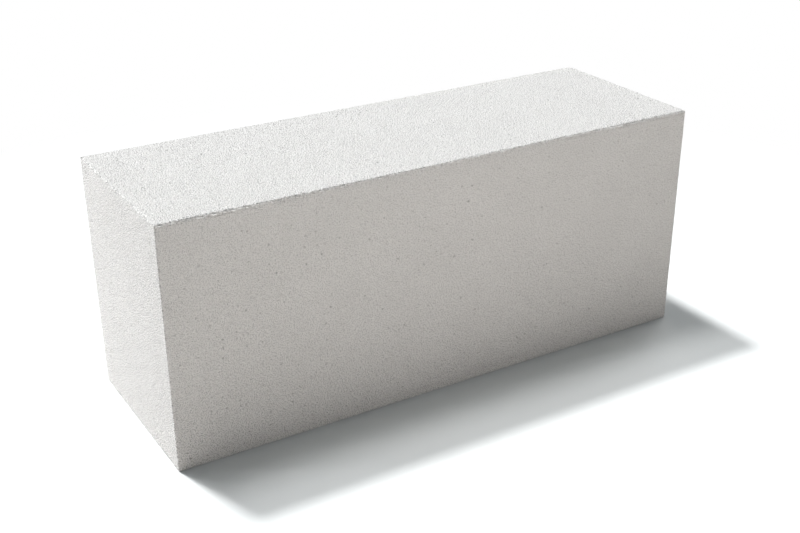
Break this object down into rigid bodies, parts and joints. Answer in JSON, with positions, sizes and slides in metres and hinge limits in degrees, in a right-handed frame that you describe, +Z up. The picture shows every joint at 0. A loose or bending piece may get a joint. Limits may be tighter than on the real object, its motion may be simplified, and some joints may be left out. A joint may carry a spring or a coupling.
{
  "type": "aerated concrete block",
  "caption": "Solid rectangular wall block of pale aerated concrete, with plain cut faces and slightly rubbed arrises, laid in thin mortar joints to build walls.",
  "frame": {"origin": "centre of the lower bed face, on which the block stands", "axes": "+X along the block's length, +Y through the wall, +Z up through the course"},
  "size_m": [0.6, 0.2, 0.25],
  "materials": {
    "aerated_concrete": "matte"
  },
  "bodies": {
    "root": {"block": "aerated_concrete"}
  },
  "joints": []
}
